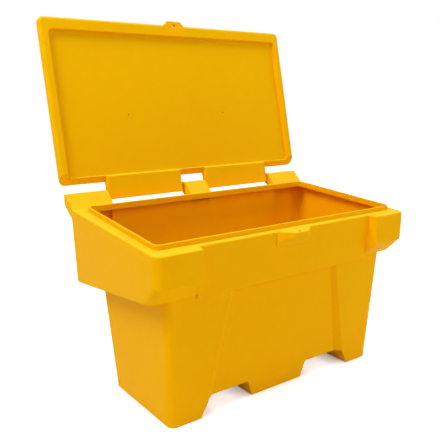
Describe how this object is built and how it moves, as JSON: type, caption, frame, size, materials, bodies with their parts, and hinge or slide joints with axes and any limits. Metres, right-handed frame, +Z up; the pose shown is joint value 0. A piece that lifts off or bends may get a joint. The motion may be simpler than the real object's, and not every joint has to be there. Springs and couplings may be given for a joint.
{
  "type": "grit salt bin",
  "caption": "Moulded plastic street grit bin: tapered tub with fork channels, sloping collar and an open, double-skinned lid on a steel hinge rod.",
  "frame": {"origin": "middle of the tub's footprint, on the floor", "axes": "+Z up, -Y towards the front with the padlock lug, +X to the right seen from the front, parallel to the hinge axis"},
  "size_m": [1.02, 0.7324, 1.2073],
  "materials": {
    "tub_plastic": "satin",
    "lid_plastic": "satin",
    "rod_steel": "galvanised",
    "cap_plastic": "matte"
  },
  "bodies": {
    "tub_body": {"tub": "tub_plastic", "hinge_rod": "rod_steel", "rod_cap_left": "cap_plastic", "rod_cap_right": "cap_plastic"},
    "lid_body": {"lid": "lid_plastic"}
  },
  "joints": [
    {"name": "lid_hinge", "type": "hinge", "parent": "tub_body", "child": "lid_body", "pos_m": [0, 0.3365, 0.6163], "axis": [1, 0, 0], "range_deg": [0, 107.5]}
  ]
}
